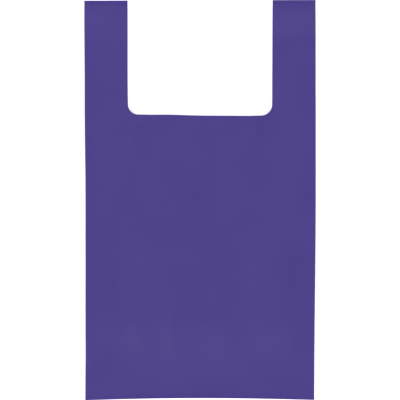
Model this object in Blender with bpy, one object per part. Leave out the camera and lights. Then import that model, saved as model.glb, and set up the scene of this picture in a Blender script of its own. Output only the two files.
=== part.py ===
"""A film carrier bag with side gussets and two loop handles, lying flat on its back.

The bag is one piece. A blown film tube has its two sides folded in as gussets and is heat-sealed straight
across both ends. A U-shaped piece is then punched out of the top through every ply, which opens the mouth and
leaves the two handles. X runs across the bag, Y along it with the handles at +Y, and Z up from the surface
that the back panel lies on. The origin is under the middle of the bag.
"""

import bpy
import numpy as np

for old in list(bpy.data.objects):
    bpy.data.objects.remove(old, do_unlink=True)

# Driving dimensions of the flat bag, in metres
bag_width = 0.2600  # side fold to side fold, at the foot of the handles
bottom_width = 0.2575  # side fold to side fold, at the bottom seal
bag_length = 0.4490  # middle of the bottom edge to the handle tops
gusset_depth = 0.0600  # from a side fold in to the gusset's crease
handle_width = 0.0480
cutout_depth = 0.1300  # handle tops down to the mouth
cutout_corner_radius = 0.0140
bottom_bow = 0.0022  # how far the bottom corners reach past the middle of the bottom edge
seal_width = 0.0040
seal_bead = 0.0002  # how far the fused edge stands past the ends of the plies

# The film and how loosely its plies lie on each other
film = 0.00035
fold_gap = 0.0002  # between two plies at a fold, and between plies pressed flat at a seal
gusset_opening = 0.0035  # how far a gusset springs open along the bag's side
loop_opening = 0.0070  # how far the front of a handle stands off its back, along the handle's middle
panel_rise = 0.0090  # how far the middle of the front panel stands above its side folds
settle_length = 0.0900  # from a seal to where the bag has its full thickness
loop_settle_length = 0.0450  # from each end of a handle to where its loop is fully open
step_length = 0.0200  # over which the front panel steps down beside a gusset at a seal

# The film's colour, as linear red, green and blue
film_colour = (0.0782, 0.0578, 0.2542, 1.0)
film_roughness = 0.42

# How finely the film is divided
bottom_stations = 11  # along the stretch above the bottom seal, where the bag gains its thickness
body_stations = 4  # along the even stretch from there to the foot of the handles
handle_stations = 21  # along the handles
front_points = 12  # from the middle of the front panel to a side fold
gusset_points = 4  # across one ply of a gusset
back_points = 4  # from a side fold to the middle of the back panel
fold_segments = 4  # round one fold
corner_segments = 8  # round one corner of the cut-out
punch_overshoot = 0.0200  # how far the punch passes the film on every side

middle_along = (bag_length - bottom_bow) / 2  # the origin's place along the bag, midway between its ends
half_film = film / 2
fold_radius = (film + fold_gap) / 2  # at the middle of the film
back_height = half_film  # middle of the film of the back panel, which lies on the surface
ply_pitch = film + fold_gap


def smooth(fraction):
    """Nought to one with no slope at either end: 3 f squared less 2 f cubed."""
    held = np.clip(fraction, 0.0, 1.0)
    return held * held * (3.0 - 2.0 * held)


def looseness(along):
    """Nought at both seals, one from settle_length inwards."""
    from_seal = np.minimum(along, bag_length - along) - seal_width
    return smooth(from_seal / settle_length)


def half_width(along):
    """Half the bag's width, which grows evenly from the bottom up to the foot of the handles."""
    mouth = bag_length - cutout_depth
    return (bottom_width + (bag_width - bottom_width) * np.clip(along / mouth, 0.0, 1.0)) / 2


def loop_share(along):
    """Nought up to the mouth and at the handle tops, one along the middle of the handles."""
    from_end = np.minimum(along - (bag_length - cutout_depth), bag_length - seal_width - along)
    return smooth(from_end / loop_settle_length)


def side_opening(along):
    """How far a gusset stands open at the side fold: as a groove on the body, as a loop in the handles."""
    share = loop_share(along)
    return gusset_opening * looseness(along) * (1.0 - share) + loop_opening * share


def side_fold_height(along):
    """Height of the front panel where it meets a side fold: four plies and the opening between them."""
    return back_height + 3 * ply_pitch + side_opening(along)


def front_height(across, along):
    """Height of the front panel: it arches between its side folds, and at a seal it steps down beside each
    gusset from four plies to two."""
    reach = half_width(along) - fold_radius
    arch = np.cos(0.5 * np.pi * np.clip(across / reach, -1.0, 1.0)) ** 2
    crease = half_width(along) - gusset_depth
    step = smooth((crease - np.abs(across)) / step_length)
    loose = looseness(along)
    return side_fold_height(along) + panel_rise * loose * arch - 2 * ply_pitch * (1.0 - loose) * step


def place_along(across, along):
    """Y of a point of the film: the bottom edge bows, and the bow fades out towards the top."""
    bow = bottom_bow * (across / (bottom_width / 2)) ** 2 * (1.0 - along / bag_length)
    return along - middle_along - bow


def fold(centre_x, centre_z, side, half_height=fold_radius):
    """Half a turn of film round a fold, open towards the bag's middle (side 1) or its edge (side -1).

    Gives x and z of the film's middle, and the direction of its outer face.
    """
    angle = np.linspace(0.5 * np.pi, -0.5 * np.pi, fold_segments + 1)[1:-1]
    x = centre_x + side * fold_radius * np.cos(angle)
    z = centre_z + half_height * np.sin(angle) + np.zeros_like(x)
    outward_x = np.broadcast_to(np.cos(angle), x.shape)
    outward_z = np.broadcast_to(side * np.sin(angle), x.shape)
    return x, z, outward_x, outward_z


def ply(start_x, end_x, points, height, outward):
    """One flat ply from start_x to end_x, whose outer face looks up (outward 1) or down (outward -1)."""
    fraction = np.linspace(0.0, 1.0, points)
    x = start_x + (end_x - start_x) * fraction
    z = height(x, fraction)
    return x, z, np.zeros_like(x), np.full_like(x, outward)


def half_section(along):
    """The film's path round the right half of the bag, from the middle of the front to the middle of the back.

    along is a column, so each result has one row for each station. Each ply leaves its folds level. Along the
    handles the punch takes the gussets' creases away, so there the two gusset plies part along the crease too.
    """
    edge = half_width(along) - fold_radius
    crease = half_width(along) - gusset_depth + fold_radius
    front_edge = side_fold_height(along)
    crease_height = back_height + 1.5 * ply_pitch + side_opening(along) / 2
    crease_half = fold_radius + loop_opening * loop_share(along) / 2

    def front(x, fraction):
        return front_height(x, along)

    def gusset_front(x, fraction):
        start = front_edge - ply_pitch
        return start + (crease_height + crease_half - start) * smooth(fraction)

    def gusset_back(x, fraction):
        start = crease_height - crease_half
        return start + (back_height + ply_pitch - start) * smooth(fraction)

    def back(x, fraction):
        return np.full_like(x, back_height)

    pieces = [
        ply(0.0 * edge, edge, front_points, front, 1.0),
        fold(edge, front_edge - fold_radius, 1.0),
        ply(edge, crease, gusset_points, gusset_front, -1.0),
        fold(crease, crease_height, -1.0, crease_half),
        ply(crease, edge, gusset_points, gusset_back, 1.0),
        fold(edge, back_height + fold_radius, 1.0),
        ply(edge, 0.0 * edge, back_points, back, -1.0),
    ]
    return [np.concatenate(columns, axis=1) for columns in zip(*pieces)]


def whole_section(along):
    """The right half's path and its mirror image, closed into one loop round the bag."""
    x, z, outward_x, outward_z = half_section(along)
    inner = slice(-2, 0, -1)  # the mirrored half leaves out the two middle points, which it shares
    return (
        np.concatenate([x, -x[:, inner]], axis=1),
        np.concatenate([z, z[:, inner]], axis=1),
        np.concatenate([outward_x, -outward_x[:, inner]], axis=1),
        np.concatenate([outward_z, outward_z[:, inner]], axis=1),
    )


def add_object(name, points, faces):
    """A new object from an array of points and a list of faces."""
    mesh = bpy.data.meshes.new(name)
    mesh.from_pydata(points.reshape(-1, 3).tolist(), [], faces)
    mesh.validate()
    thing = bpy.data.objects.new(name, mesh)
    bpy.context.collection.objects.link(thing)
    return thing


def ring_faces(first, second, count):
    """Quads between two loops of count points that start at the given indices."""
    here = np.arange(count)
    after = (here + 1) % count
    return np.stack([first + here, first + after, second + after, second + here], axis=1).tolist()


def film_tube():
    """The gusseted tube, open at both ends: an outer skin, an inner skin and a rim at each end."""
    settled = seal_width + settle_length
    handle_foot = bag_length - cutout_depth - cutout_corner_radius
    stretches = [
        np.linspace(0.0, settled, bottom_stations, endpoint=False),
        np.linspace(settled, handle_foot, body_stations, endpoint=False),
        np.linspace(handle_foot, bag_length, handle_stations),
    ]
    along = np.concatenate(stretches)[:, None]
    x, z, outward_x, outward_z = whole_section(along)
    y = place_along(x, along)
    skins = [
        np.stack([x + side * half_film * outward_x, y, z + side * half_film * outward_z], axis=2)
        for side in (1.0, -1.0)
    ]
    count = x.shape[1]
    skin_size = x.size
    last = skin_size - count
    faces = ring_faces(skin_size, 0, count)
    for row in range(0, last, count):
        faces += ring_faces(row, row + count, count)
        faces += ring_faces(skin_size + row + count, skin_size + row, count)
    faces += ring_faces(last, skin_size + last, count)
    return add_object("bag", np.stack(skins), faces)


def seal(name, inner_end, outer_end):
    """The plies melted together across one end: a bar that runs from the middle of the back ply's film to that
    of the front ply's, and sideways to the middle of the film in the side folds, so no pinhole is left there."""
    ends = np.array([inner_end, outer_end])[:, None]
    middle = 0.5 * (inner_end + outer_end)
    reach = half_width(middle)
    across = np.linspace(-reach, reach, 4 * front_points + 1)
    top = front_height(across, middle)
    y = place_along(across, ends)
    x = np.broadcast_to(across, y.shape)
    upper = np.stack([x, y, np.broadcast_to(top, y.shape)], axis=2)
    lower = np.stack([x, y, np.full_like(y, back_height)], axis=2)
    count = len(across)
    inner_up, outer_up, inner_low, outer_low = (count * row for row in range(4))
    faces = []
    for rails in (
        (inner_up, outer_up),
        (outer_up, outer_low),
        (outer_low, inner_low),
        (inner_low, inner_up),
    ):
        for k in range(count - 1):
            faces.append([rails[0] + k, rails[0] + k + 1, rails[1] + k + 1, rails[1] + k])
    corners = [inner_up, outer_up, outer_low, inner_low]
    faces.append(corners)
    faces.append([corner + count - 1 for corner in reversed(corners)])
    bar = add_object(name, np.stack([upper, lower]), faces)
    bar.hide_render = True
    bar.display_type = "WIRE"
    return bar


def punch():
    """The punch for the cut-out: a straight-sided block with two rounded lower corners."""
    half = bag_width / 2 - handle_width
    mouth = bag_length - cutout_depth - middle_along
    top = bag_length + punch_overshoot - middle_along
    turn = np.linspace(0.0, 0.5 * np.pi, corner_segments + 1)
    corner_x = half - cutout_corner_radius + cutout_corner_radius * np.cos(-turn)
    corner_y = mouth + cutout_corner_radius + cutout_corner_radius * np.sin(-turn)
    x = np.concatenate([[half], corner_x, -corner_x[::-1], [-half]])
    y = np.concatenate([[top], corner_y, corner_y[::-1], [top]])
    count = len(x)
    tallest = front_height(0.0, middle_along)
    low = np.stack([x, y, np.full(count, -punch_overshoot)], axis=1)
    high = np.stack([x, y, np.full(count, tallest + punch_overshoot)], axis=1)
    faces = ring_faces(count, 0, count)
    faces.append(list(range(count)))
    faces.append(list(range(2 * count - 1, count - 1, -1)))
    block = add_object("punch", np.stack([low, high]), faces)
    block.hide_render = True
    block.display_type = "WIRE"
    return block


def boolean(thing, operation, other):
    """Join another solid to this one, or cut it away."""
    step = thing.modifiers.new(other.name, "BOOLEAN")
    step.operation = operation
    step.solver = "EXACT"
    step.object = other


def film_material():
    """Opaque dyed polyethylene film with a soft gloss."""
    material = bpy.data.materials.new("purple_film")
    material.use_nodes = True
    shader = material.node_tree.nodes["Principled BSDF"]
    shader.inputs["Base Color"].default_value = film_colour
    shader.inputs["Roughness"].default_value = film_roughness
    shader.inputs["Metallic"].default_value = 0.0
    return material


bag = film_tube()
bag.data.materials.append(film_material())
boolean(bag, "UNION", seal("handle_top_seal", bag_length - seal_width, bag_length + seal_bead))
boolean(bag, "DIFFERENCE", punch())
boolean(bag, "UNION", seal("bottom_seal", seal_width, -seal_bead))
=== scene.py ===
"""A purple film carrier bag with two loop handles, flat on a white table and seen from straight above."""

import bpy
import numpy as np
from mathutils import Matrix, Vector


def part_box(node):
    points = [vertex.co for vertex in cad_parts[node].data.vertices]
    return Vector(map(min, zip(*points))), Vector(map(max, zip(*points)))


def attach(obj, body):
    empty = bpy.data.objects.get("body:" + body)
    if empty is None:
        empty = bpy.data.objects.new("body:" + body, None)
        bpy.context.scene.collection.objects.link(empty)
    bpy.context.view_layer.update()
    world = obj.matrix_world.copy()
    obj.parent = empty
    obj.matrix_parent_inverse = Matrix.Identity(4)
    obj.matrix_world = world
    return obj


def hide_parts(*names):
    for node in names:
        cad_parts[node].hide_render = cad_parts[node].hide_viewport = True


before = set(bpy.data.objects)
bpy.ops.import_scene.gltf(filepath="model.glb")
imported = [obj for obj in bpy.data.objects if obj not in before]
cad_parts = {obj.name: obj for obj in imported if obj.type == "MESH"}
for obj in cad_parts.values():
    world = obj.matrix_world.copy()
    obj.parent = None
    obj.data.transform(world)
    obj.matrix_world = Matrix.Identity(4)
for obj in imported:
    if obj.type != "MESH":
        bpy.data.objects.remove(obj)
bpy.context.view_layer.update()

# The film bag
# One length of blown polyethylene tube, its sides folded in as gussets. It is welded straight across the
# bottom and the handle tops, and one punch through every ply leaves the mouth and the two loop handles.
bag_low, bag_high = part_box("bag")
bottom_bow = 0.0022  # how far the bottom corners reach past the middle of the bottom edge
bead_reach = 0.0002  # how far the melted edges stand past the ends of the plies
bag_length = bag_high.y - bag_low.y - bottom_bow - 2 * bead_reach
middle_along = (bag_length - bottom_bow) / 2  # from the bottom edge up to the bag's origin
fold_across = 0.1300  # from the bag's middle out to a side fold
crease_across = 0.0700  # from the bag's middle out to a gusset's inner crease
cut_across = 0.0820  # from the bag's middle out to a handle's inner edge
cutout_depth = 0.1300  # from the handle tops down to the mouth
mouth = bag_length - cutout_depth
left_corner, right_corner = 0.0121, 0.0129  # radius of the cut-out's corners
weld_width = 0.0040
film = 0.00010  # twice the real film's thickness, so that its two faces stay apart
row_bend = 0.0400  # how far below the mouth the mesh's rows start to bend to the punched line


def smooth(fraction):
    """Nought to one with no slope at either end: 3 f squared less 2 f cubed."""
    held = np.clip(fraction, 0.0, 1.0)
    return held * held * (3.0 - 2.0 * held)


def waves(place, lengths, starts):
    """Sine waves of the given lengths, averaged: slow and uneven, between minus one and one."""
    total = sum(np.sin(2.0 * np.pi * place / length + start) for length, start in zip(lengths, starts))
    return total / len(lengths)


def cut_line(across):
    """Where the punched line crosses each line of the film: the mouth, and round each corner an arc up to
    the handle's inner edge."""
    radius = np.where(across < 0.0, left_corner, right_corner)
    into_corner = np.clip(np.abs(across) - (cut_across - radius), 0.0, radius)
    return mouth + radius - np.sqrt(radius**2 - into_corner**2)


def looseness(along):
    """Nought at both welds, and one beyond a reach from them."""
    reach = 0.0900
    from_weld = np.minimum(along, bag_length - along) - weld_width
    return smooth(from_weld / reach)


def loop_share(along):
    """Nought up to the mouth and at the handle tops, and one beyond a reach from them."""
    reach = 0.0450
    from_end = np.minimum(along - mouth, bag_length - weld_width - along)
    return smooth(from_end / reach)


def pitch(along):
    """From one ply's middle to the next at a fold: melted together in the welds, looser away from them."""
    welded, loose = 0.00011, 0.00050
    return welded + (loose - welded) * looseness(along)


def side_opening(along, side):
    """How far a gusset stands open at its side fold, a little unevenly: a groove on the body, and a loop
    about twice as high in the handles."""
    groove, loop, unevenness = 0.0038, 0.0074, 0.13
    uneven = 1.0 + unevenness * waves(along, (0.083, 0.131, 0.052), (1.0 + side, 2.4 - side, 0.6 * side))
    share = loop_share(along)
    return uneven * (groove * looseness(along) * (1.0 - share) + loop * share)


def side_fold_height(along, side):
    """Height of the front panel at a side fold: four plies and the opening between them."""
    return film / 2 + 3 * pitch(along) + side_opening(along, side)


def handle_root_pleats(across, along):
    """Soft pleats that fan down into the panel from the foot of each handle: a sine of the bearing from the
    root, which swells with the distance from it and then dies out."""
    root_across, root_along = 0.078, mouth + right_corner
    deepest, pleats_a_turn = 0.045, 9.0
    total = 0.0
    for side in (-1.0, 1.0):
        out = across - side * root_across
        down = root_along - along
        bearing = np.arctan2(out, down)
        far = np.hypot(out, down) / deepest
        total = total + np.sin(pleats_a_turn * bearing + 1.3 + 0.8 * side) * far * np.exp(1.0 - far)
    return total


def front_wrinkles(across, along):
    """Height of the front panel's wrinkles: slow swells that wander along the bag, pleats from the handle
    roots, a ripple in the free edge of the mouth and puckers above the bottom weld. All die out towards the
    side folds."""
    swell_height, pleat_height, ripple_height, pucker_height = 0.00042, 0.00016, 0.00050, 0.00013
    ripple_reach, pucker_reach, side_room = 0.030, 0.011, 0.035
    wander = 0.018 * np.sin(along / 0.071)
    swells = swell_height * waves(across + wander, (0.061, 0.092, 0.039), (0.4, 2.2, 4.1))
    pleats = pleat_height * handle_root_pleats(across, along)
    from_mouth = np.abs(cut_line(across) - along)
    ripple = ripple_height * waves(across, (0.047, 0.071), (1.1, 0.2)) * np.exp(-from_mouth / ripple_reach)
    above_weld = np.clip((along - weld_width) / pucker_reach, 0.0, 12.0)
    puckers = pucker_height * (1.0 + waves(across, (0.0125, 0.0172, 0.0231), (0.0, 1.9, 3.1)))
    puckers = puckers * above_weld * np.exp(1.0 - above_weld)
    room = smooth((fold_across - np.abs(across)) / side_room)
    return room * (looseness(along) * (swells + pleats + ripple) + puckers)


def front_height(across, along):
    """Height of the front panel: a squared cosine arches it above its side folds, and at a weld it steps
    down beside each gusset from four plies to two."""
    arch_height, tilt_width, step_width = 0.0090, 0.120, 0.0200
    reach = fold_across - pitch(along) / 2
    arch = arch_height * np.cos(0.5 * np.pi * np.clip(across / reach, -1.0, 1.0)) ** 2
    to_right = smooth(0.5 + across / tilt_width)
    left, right = side_fold_height(along, -1.0), side_fold_height(along, 1.0)
    step = smooth((crease_across - np.abs(across)) / step_width)
    loose = looseness(along)
    plain = left + (right - left) * to_right + arch * loose - 2 * pitch(along) * (1.0 - loose) * step
    return plain + front_wrinkles(across, along)


def back_height(across, along):
    """Height of the back panel, which lies on the table: only a few long creases lift off it, and they fade
    out towards the side folds and up the handles."""
    crease_height, creased_across, fade = 0.00060, 0.105, 0.040
    wander = 0.012 * np.sin(along / 0.055 + 1.0)
    lift = np.clip(waves(across + wander, (0.053, 0.034, 0.087), (2.0, 0.5, 1.4)), 0.0, 1.0)
    room = smooth((creased_across - np.abs(across)) / fade) * (1.0 - loop_share(along))
    return film / 2 + crease_height * lift * room * looseness(along)


def gusset_height(across, along, side, upper):
    """Height of a gusset's upper or lower ply. It leaves the side fold level, one ply inside the panel, and
    runs to the crease half way up. In a handle the crease is punched away, so the two plies stay apart."""
    sway_height = 0.00035
    opening = side_opening(along, side)
    sway = sway_height * looseness(along) * waves(along, (0.061, 0.097), (0.7 * side, 2.0 + side))
    middle = film / 2 + 1.5 * pitch(along) + opening / 2 + sway * (1.0 - loop_share(along))
    apart = pitch(along) / 2 + opening / 2 * loop_share(along)
    if upper:
        at_fold, at_crease = side_fold_height(along, side) - pitch(along), middle + apart
    else:
        at_fold, at_crease = film / 2 + pitch(along), middle - apart
    inwards = (fold_across - across) / (fold_across - crease_across)
    return at_fold + (at_crease - at_fold) * smooth(inwards)


def along_film(row, across):
    """Rows of the mesh run straight across the body, and below the mouth they bend to the punched line."""
    bend = np.clip(1.0 + (row - mouth) / row_bend, 0.0, 1.0)
    return np.where(row > mouth, row, row + bend * (cut_line(across) - mouth))


def beside_folds(across, along, creased):
    """The flat film stops one fold radius short of its side fold and, on a gusset, of its inner crease."""
    radius = pitch(along) / 2
    to_fold = np.clip((across - cut_across) / (fold_across - cut_across), 0.0, 1.0)
    to_crease = np.clip((cut_across - across) / (cut_across - crease_across), 0.0, 1.0)
    return across - radius * to_fold + creased * radius * to_crease


def columns(steps_to_corner, steps_to_fold):
    """Places of the mesh's columns from the bag's middle out to a side fold: even steps to the corner of
    the cut-out, even turns round its arc, even steps over the handle, and close ones by the fold."""
    turns = 0.5 * np.pi * np.linspace(0.0, 1.0, 12)
    corner = cut_across - right_corner + right_corner * np.sin(turns)
    by_fold = fold_across - np.array([0.0028, 0.0014, 0.0006, 0.0])
    panel_part = np.linspace(0.0, corner[0], steps_to_corner, endpoint=False)
    handle_part = np.linspace(cut_across, by_fold[0], steps_to_fold, endpoint=False)[1:]
    return np.concatenate([panel_part, corner, handle_part, by_fold])


front_columns = columns(27, 14)
back_columns = columns(14, 8)
crease_step = 0.0006  # between the gusset's first two columns, at its crease
by_crease = crease_across + np.array([0.0, crease_step])
past_crease = back_columns[back_columns > crease_across + 2 * crease_step]
gusset_columns = np.concatenate([by_crease, past_crease])
half_turn = np.linspace(0.5 * np.pi, -0.5 * np.pi, 7)[1:-1]  # round a fold, without its two ends


def panel(row, side, across, height, around):
    """One half of the front or back panel. This and the next three give, for each row and column, the place
    across and along the bag, the height, and the distance round the tube from the middle of the front."""
    along = along_film(row, side * across)
    across = side * beside_folds(across, along, 0.0)
    return np.broadcast_arrays(across, along, height(across, along), side * around)


def gusset_ply(row, side, across, upper, around):
    """One ply of a gusset."""
    along = along_film(row, side * across)
    height = gusset_height(across, along, side, upper)
    return np.broadcast_arrays(side * beside_folds(across, along, 1.0), along, height, side * around)


def side_fold(row, side, upper, around):
    """Half a turn of film round a side fold, as wide as the pitch between the two plies that it joins."""
    along = along_film(row, np.full_like(half_turn, side * fold_across))
    radius = pitch(along) / 2
    middle = side_fold_height(along, side) - radius if upper else film / 2 + radius
    across = fold_across - radius + radius * np.cos(half_turn)
    return np.broadcast_arrays(side * across, along, middle + radius * np.sin(half_turn), side * around)


def crease(row, side, around):
    """Half a turn of film round a gusset's inner crease, from its upper ply to its lower one."""
    along = along_film(row, np.full_like(half_turn, side * crease_across))
    upper = gusset_height(crease_across, along, side, True)
    lower = gusset_height(crease_across, along, side, False)
    across = crease_across + pitch(along) / 2 * (1.0 - np.cos(half_turn))
    height = (upper + lower) / 2 + (upper - lower) / 2 * np.sin(half_turn)
    return np.broadcast_arrays(side * across, along, height, side * around)


def half_path(row, side):
    """The film's path round one half of the bag: from the middle of the front panel to the side fold, in
    along the gusset to its crease, out again to the back's side fold, and to the middle of the back."""
    out, inwards = gusset_columns, gusset_columns[::-1]
    back_inwards = back_columns[::-1]
    at_crease = 2 * fold_across - crease_across
    at_back_fold = at_crease + fold_across - crease_across
    parts = [
        panel(row, side, front_columns, front_height, front_columns),
        side_fold(row, side, True, fold_across),
        gusset_ply(row, side, inwards, True, 2 * fold_across - inwards),
        crease(row, side, at_crease),
        gusset_ply(row, side, out, False, at_crease + out - crease_across),
        side_fold(row, side, False, at_back_fold),
        panel(row, side, back_inwards, back_height, at_back_fold + fold_across - back_inwards),
    ]
    return [np.concatenate(part, axis=1) for part in zip(*parts)]


def half_width(along, first, *steps):
    """Half of a width as it changes up the bag: its first value and then smooth steps, each given as an
    amount, the place where it starts and the length that it takes."""
    return first + sum(amount * smooth((along - start) / length) for amount, start, length in steps)


def place_across(across, along):
    """X of a point of the film. The bag isn't quite even: each side is a little narrower towards the
    bottom, in its own way, and so is the cut-out towards the mouth, and the open loops draw the side folds
    in. This stretches or squeezes the film a little on either side of the handles' inner edges."""
    left_cut = half_width(along, 0.0812, (0.0004, mouth, 0.0455))
    right_cut = 0.0813 + 0.0005 * np.clip((along - mouth) / cutout_depth, 0.0, 1.0)
    cut = np.where(across < 0.0, left_cut, right_cut)
    left_steps = [(-0.0005, 0.0, 0.060), (0.00095, 0.225, 0.105), (0.0007, 0.330, 0.120)]
    left_fold = half_width(along, 0.12940, *left_steps)
    right_fold = half_width(along, 0.12890, (0.00145, 0.040, 0.190))
    drawn_in = 0.0003
    fold = np.where(across < 0.0, left_fold, right_fold) - drawn_in * loop_share(along)
    inner = np.minimum(np.abs(across), cut_across) * cut / cut_across
    outer = np.maximum(np.abs(across) - cut_across, 0.0) * (fold - cut) / (fold_across - cut_across)
    return np.sign(across) * (inner + outer)


def place_along(across, along):
    """Y of a point of the film. The bottom edge bows as the square of the distance from the middle, a trace
    less on the right, and the bow fades out upwards. The punch was set a little askew: near the mouth the
    film stands lower on the right and rises into both corners, and the left handle top stands lower."""
    bow_difference, mouth_reach = 0.0002, 0.050
    left_rise, right_drop, corner_rise = 0.00035, 0.00125, 0.00045
    drop_from, drop_width, rise_from, rise_width = -0.045, 0.055, 0.052, 0.018
    top_drop, undropped_across, handle_reach = 0.00043, 0.126, 0.100
    share_across = across / fold_across
    bow = share_across**2 * (bottom_bow - bow_difference * share_across) * (1.0 - along / bag_length)
    near_mouth = 1.0 - smooth(np.abs(along - mouth) / mouth_reach)
    to_right = smooth((across - drop_from) / drop_width)
    to_corners = smooth((np.abs(across) - rise_from) / rise_width)
    mouth_skew = (left_rise - right_drop * to_right + corner_rise * to_corners) * near_mouth
    up_handle = smooth((along - mouth - right_corner) / handle_reach)
    top_skew = top_drop * (1.0 - across / undropped_across) * up_handle
    return along - middle_along - bow + mouth_skew - top_skew


def add_film(name, points, faces, marks):
    """A new smooth mesh from an array of points and a list of faces, with a named value or vector for every
    point, which the film's finish reads. Where the film is cut, only one face meets the edge, and the edge
    stays crisp."""
    mesh = bpy.data.meshes.new(name)
    mesh.from_pydata(points.tolist(), [], faces)
    for mark, values in marks.items():
        kind, field = ("FLOAT", "value") if values.ndim == 1 else ("FLOAT_VECTOR", "vector")
        attribute = mesh.attributes.new(mark, kind, "POINT")
        attribute.data.foreach_set(field, values.astype(np.float32).ravel())
    mesh.shade_smooth()
    edges_met = np.empty(len(mesh.loops), dtype=np.int32)
    mesh.loops.foreach_get("edge_index", edges_met)
    cut = np.bincount(edges_met, minlength=len(mesh.edges)) == 1
    mesh.attributes.new("sharp_edge", "BOOLEAN", "EDGE").data.foreach_set("value", cut)
    made = bpy.data.objects.new(name, mesh)
    bpy.context.collection.objects.link(made)
    return made


def film_rows():
    """Places of the mesh's rows along the bag, closer by the welds and the mouth, and how many lie below
    the cut-out."""
    first_step, second_step = 0.0008, 0.0020  # from a weld inwards, where the plies part
    puckers_from, puckers_to = 0.0080, 0.0400
    body = [
        np.linspace(0.0, weld_width, 4),
        weld_width + np.array([first_step, second_step]),
        np.linspace(puckers_from, puckers_to, 15),
        np.linspace(puckers_to, mouth - row_bend, 67)[1:],
        np.linspace(mouth - row_bend, mouth, 20)[1:],
    ]
    handle = np.linspace(mouth + right_corner, bag_length - weld_width - second_step, 34)[1:]
    top = bag_length - np.array([weld_width + first_step, weld_width, 0.0027, 0.0013, 0.0])
    return np.concatenate([*body, handle, top])[:, None], sum(len(part) for part in body)


def film_tube():
    """The whole tube as one grid of rows along the bag and columns round the tube, closed round the body.
    Above the mouth only the columns outside the cut-out go on, and leave two folded strips in each
    handle."""
    hair = 1e-6  # less than any step of the mesh
    fold_width = 0.0007
    row, below_cut = film_rows()
    halves = zip(half_path(row, 1.0), half_path(row, -1.0))
    joined = [np.concatenate([right, left[:, -2:0:-1]], axis=1) for right, left in halves]
    across, along, height, around = joined

    index = np.arange(across.size).reshape(across.shape)
    after = np.roll(index, -1, axis=1)
    quads = np.stack([index[:-1], after[:-1], after[1:], index[1:]], axis=2)
    handle = np.sign(across[-1]) * (np.abs(across[-1]) > cut_across - hair)
    in_handle = (handle != 0.0) & (handle == np.roll(handle, -1))
    in_body = np.arange(len(row) - 1)[:, None] < below_cut - 1
    faces = quads[in_handle | in_body]
    used, renumbered = np.unique(faces, return_inverse=True)

    points = np.stack([place_across(across, along), place_along(across, along), height], axis=2)
    from_side_fold = fold_across - np.abs(across)
    from_crease = np.abs(np.abs(around) - 2 * fold_across + crease_across)
    from_end = np.minimum(along, bag_length - along)
    marks = {
        "film_place": np.stack([around, along, np.zeros_like(along)], axis=2).reshape(-1, 3)[used],
        "fold": np.exp(-np.minimum(from_side_fold, from_crease) / fold_width).ravel()[used],
        "weld": (from_end < weld_width + hair).astype(float).ravel()[used],
    }
    faces = renumbered.reshape(faces.shape).tolist()
    return add_film("film_bag", points.reshape(-1, 3)[used], faces, marks)


def node(tree, kind, inputs, **settings):
    """A shader node with its settings, and its sockets each set to a value or wired to a node's output."""
    made = tree.nodes.new(kind)
    for setting, value in settings.items():
        setattr(made, setting, value)
    for socket, value in inputs.items():
        if isinstance(value, bpy.types.NodeSocket):
            tree.links.new(value, made.inputs[socket])
        else:
            made.inputs[socket].default_value = value
    return made


def arithmetic(tree, operation, *values):
    """The result of a math node."""
    return node(tree, "ShaderNodeMath", dict(enumerate(values)), operation=operation).outputs[0]


def carried(tree, value, first_range, second_range):
    """A value carried from one range over to another and held at its ends."""
    inputs = {"Value": value}
    inputs["From Min"], inputs["From Max"] = first_range
    inputs["To Min"], inputs["To Max"] = second_range
    return node(tree, "ShaderNodeMapRange", inputs).outputs["Result"]


def scaled(tree, place, around, along):
    """The film's place, scaled by one amount round the tube and by another along it."""
    inputs = {"Vector": place, "Scale": (around, along, 1.0)}
    return node(tree, "ShaderNodeMapping", inputs).outputs["Vector"]


def noise(tree, place, scale, detail, roughness=0.5, **settings):
    """The value of a noise texture."""
    inputs = {"Vector": place, "Scale": scale, "Detail": detail, "Roughness": roughness}
    return node(tree, "ShaderNodeTexNoise", inputs, **settings).outputs["Fac"]


def film_relief(tree, place, die_lines, weld):
    """Height of the film's fine relief in metres: soft creases drawn out along the bag, a fine random
    crinkle, the die's lines along the tube, and in the welds the sealing bar's ribs. The wave texture turns
    through twenty radians for each unit of its place times its scale."""
    rib_spacing = 0.0012
    rib_scale = 2.0 * np.pi / (20.0 * rib_spacing)
    crease_depth, crinkle_depth, die_line_depth, rib_depth = 0.00035, 0.00020, 0.00004, 0.00004
    drawn_out = scaled(tree, place, 26.0, 11.0)
    creases = noise(
        tree, drawn_out, scale=1.0, detail=2.0, roughness=0.4, noise_type="RIDGED_MULTIFRACTAL"
    )
    crinkle = noise(tree, place, scale=240.0, detail=4.0, roughness=0.55)
    bands = node(tree, "ShaderNodeTexWave", {"Vector": place, "Scale": rib_scale}, bands_direction="X")
    ribs = arithmetic(tree, "MULTIPLY", bands.outputs["Fac"], weld)
    height = arithmetic(tree, "MULTIPLY", creases, crease_depth)
    height = arithmetic(tree, "MULTIPLY_ADD", crinkle, crinkle_depth, height)
    height = arithmetic(tree, "MULTIPLY_ADD", die_lines, die_line_depth, height)
    return arithmetic(tree, "MULTIPLY_ADD", ribs, rib_depth, height)


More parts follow.
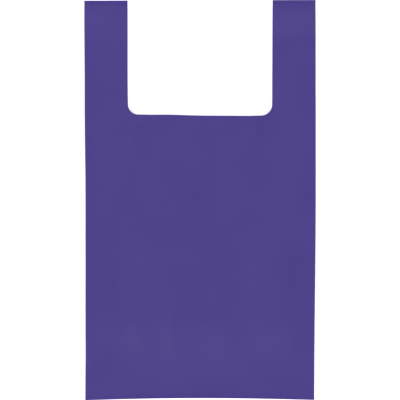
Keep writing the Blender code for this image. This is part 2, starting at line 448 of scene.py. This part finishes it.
def purple_film():
    """Dyed polyethylene film. Its colour drifts slightly between two purples, in clouds and in the faint
    lines that the die leaves along the tube, and is a trace paler where the film is folded. A fine crinkle
    breaks its satin gloss, and the welds are glossier."""
    deep_purple, light_purple = (0.0589, 0.0392, 0.2318, 1.0), (0.0619, 0.0412, 0.2418, 1.0)
    pale_purple, fold_paleness = (0.1100, 0.0850, 0.3200, 1.0), 0.25
    satin_range, weld_change = (0.34, 0.44), -0.10
    material = bpy.data.materials.new("purple_film")
    material.use_nodes = True
    tree = material.node_tree
    shader = tree.nodes["Principled BSDF"]
    place = node(tree, "ShaderNodeAttribute", {}, attribute_name="film_place").outputs["Vector"]
    fold = node(tree, "ShaderNodeAttribute", {}, attribute_name="fold").outputs["Fac"]
    weld = node(tree, "ShaderNodeAttribute", {}, attribute_name="weld").outputs["Fac"]

    die_lines = noise(tree, scaled(tree, place, 420.0, 5.0), scale=1.0, detail=2.0)
    clouds = noise(tree, place, scale=24.0, detail=3.0)
    dye = node(tree, "ShaderNodeValToRGB", {"Fac": arithmetic(tree, "ADD", die_lines, clouds)})
    deep, light = dye.color_ramp.elements
    deep.position, deep.color = 0.70, deep_purple
    light.position, light.color = 1.00, light_purple
    # A mix of colours takes them in sockets 6 and 7 and gives the result in output 2.
    pale_share = arithmetic(tree, "MULTIPLY", fold, fold_paleness)
    colours = {"Factor": pale_share, 6: dye.outputs["Color"], 7: pale_purple}
    colour = node(tree, "ShaderNodeMix", colours, data_type="RGBA").outputs[2]

    satin = carried(tree, clouds, (0.3, 0.7), satin_range)
    roughness = arithmetic(tree, "MULTIPLY_ADD", weld, weld_change, satin)
    relief = film_relief(tree, place, die_lines, weld)
    bump = node(tree, "ShaderNodeBump", {"Height": relief, "Strength": 1.0, "Distance": 1.0})
    tree.links.new(colour, shader.inputs["Base Color"])
    tree.links.new(roughness, shader.inputs["Roughness"])
    tree.links.new(bump.outputs["Normal"], shader.inputs["Normal"])
    shader.inputs["IOR"].default_value = 1.51
    shader.inputs["Specular IOR Level"].default_value = 0.36
    return material


film_bag = film_tube()
thickness = film_bag.modifiers.new("film_thickness", "SOLIDIFY")
thickness.thickness = film
thickness.offset = 0.0
film_bag.data.materials.append(purple_film())
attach(film_bag, "root")
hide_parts("bag")

# The melted edges
# The hot blade that cuts each weld free melts the ends of its plies into one rounded bead of the same film,
# one along the whole bottom and one across each handle top.


def melted_edge(name, first, last, along, outwards):
    """A bead along the end of the plies: an ellipse a little higher than the stack of plies, carried across
    the bag from first to last, with its middle on the ends of the plies."""
    ring_spacing, over_stack = 0.0025, 1.1
    across = np.linspace(first, last, 2 + int(abs(last - first) / ring_spacing))[:, None]
    turn = np.linspace(0.0, 2.0 * np.pi, 12, endpoint=False)
    half_height = over_stack / 2 * (front_height(across, along) + film / 2)
    x = place_across(across, along) + 0.0 * turn
    y = place_along(across, along) + outwards * bead_reach * np.cos(turn)
    z = half_height + half_height * np.sin(turn)
    rings, sides = x.shape
    index = np.arange(rings * sides).reshape(rings, sides)
    after = np.roll(index, -1, axis=1)
    quads = np.stack([index[:-1], index[1:], after[1:], after[:-1]], axis=2).reshape(-1, 4).tolist()
    caps = [index[0].tolist(), index[-1, ::-1].tolist()]
    if outwards > 0.0:
        quads, caps = [face[::-1] for face in quads], [face[::-1] for face in caps]
    marks = {
        "film_place": np.stack([x, np.full_like(x, along), z], axis=2).reshape(-1, 3),
        "fold": np.zeros(x.size),
        "weld": np.zeros(x.size),
    }
    bead = add_film(name, np.stack([x, y, z], axis=2).reshape(-1, 3), quads + caps, marks)
    bead.data.materials.append(film_bag.data.materials[0])
    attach(bead, "root")
    return bead


beads = [
    melted_edge("bottom_melted_edge", -fold_across, fold_across, 0.0, -1.0),
    melted_edge("left_handle_melted_edge", -fold_across, -cut_across, bag_length, 1.0),
    melted_edge("right_handle_melted_edge", cut_across, fold_across, bag_length, 1.0),
]

# The table and the light
# A plain white table, lit a little from inside so that the thin bag throws no shadow on it. Four broad
# lamps stand round it at the same height, in an even room whose white walls are brighter than its ceiling.
table_reach = 6.0
table_corners = table_reach * np.array([[-1, -1, 0], [1, -1, 0], [1, 1, 0], [-1, 1, 0]])
table_top = bpy.data.meshes.new("white_table")
table_top.from_pydata(table_corners.tolist(), [], [[0, 1, 2, 3]])
table = bpy.data.objects.new("white_table", table_top)
bpy.context.collection.objects.link(table)
white = bpy.data.materials.new("white_table")
white.use_nodes = True
white_shader = white.node_tree.nodes["Principled BSDF"]
white_shader.inputs["Base Color"].default_value = (0.88, 0.88, 0.88, 1.0)
white_shader.inputs["Roughness"].default_value = 0.9
white_shader.inputs["Specular IOR Level"].default_value = 0.0
white_shader.inputs["Emission Color"].default_value = (1.0, 1.0, 1.0, 1.0)
white_shader.inputs["Emission Strength"].default_value = 0.60
table.data.materials.append(white)

wall_brightness, ceiling_brightness = 1.0, 0.38
room = bpy.data.worlds.new("white_room")
room.use_nodes = True
sky = room.node_tree.nodes["Background"]
sky.inputs["Color"].default_value = (1.0, 1.0, 1.0, 1.0)
towards = node(room.node_tree, "ShaderNodeTexCoord", {}).outputs["Generated"]
upwards = node(room.node_tree, "ShaderNodeSeparateXYZ", {"Vector": towards}).outputs["Z"]
brightness = carried(room.node_tree, upwards, (0.08, 0.20), (wall_brightness, ceiling_brightness))
room.node_tree.links.new(brightness, sky.inputs["Strength"])
bpy.context.scene.world = room

lamp_energy = 0.69
lamp_breadth = np.radians(16.0)
lamp_tilt = np.radians(45.0)
for number in range(4):
    lamp = bpy.data.lights.new(f"lamp_{number}", "SUN")
    lamp.energy = lamp_energy
    lamp.angle = lamp_breadth
    stand = bpy.data.objects.new(f"lamp_{number}", lamp)
    stand.rotation_euler = (lamp_tilt, 0.0, np.radians(45.0 + 90.0 * number))
    bpy.context.collection.objects.link(stand)

# The camera
# It looks straight down on the middle of the bag through a long lens, so the bag's length fills the frame.
half_frame = 0.2256  # half the length that the frame shows
camera = bpy.data.objects.new("camera", bpy.data.cameras.new("camera"))
bpy.context.collection.objects.link(camera)
camera.data.lens = 200.0
camera.data.sensor_width = 36.0
camera.location = (0.0, 0.0, half_frame * camera.data.lens / (camera.data.sensor_width / 2))
bpy.context.scene.camera = camera
bpy.context.scene.view_settings.view_transform = "Standard"
